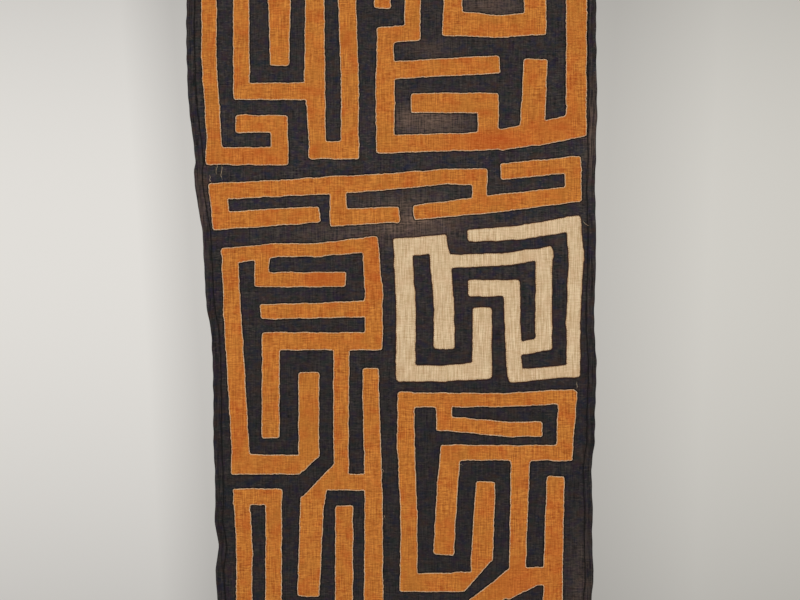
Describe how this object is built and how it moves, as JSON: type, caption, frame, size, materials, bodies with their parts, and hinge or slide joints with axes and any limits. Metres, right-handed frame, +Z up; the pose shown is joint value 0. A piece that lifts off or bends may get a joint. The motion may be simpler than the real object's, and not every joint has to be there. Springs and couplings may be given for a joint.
{
  "type": "raffia cloth hanging",
  "caption": "Long charcoal raffia cloth with turned hems, hung by its top edge, with meander bars of orange and cream raffia sewn on its front.",
  "frame": {"origin": "on the cloth's top edge, near its middle, in the middle of its thickness", "axes": "+X across the cloth to the viewer's right, +Y away from the viewer, through the cloth to its back, +Z up"},
  "size_m": [0.7, 0.0186, 1.5],
  "materials": {
    "charcoal_raffia": "plain-woven raffia dyed charcoal, matt, worn brown in patches",
    "orange_raffia": "plain-woven raffia dyed orange, with a faint sheen",
    "cream_raffia": "undyed plain-woven raffia, with a faint sheen"
  },
  "bodies": {
    "root": {"ground_cloth": "charcoal_raffia", "hook_top_left": "orange_raffia", "comb_top_left": "orange_raffia", "comb_top_right": "orange_raffia", "cup_top_right": "orange_raffia", "bracket_top_right": "orange_raffia", "band_middle": "orange_raffia", "maze_left": "orange_raffia", "bar_bottom_left": "orange_raffia", "arch_bottom_left": "orange_raffia", "maze_cream": "cream_raffia", "maze_right": "orange_raffia", "bar_bottom_right": "orange_raffia", "arch_bottom_right": "orange_raffia"}
  },
  "joints": []
}
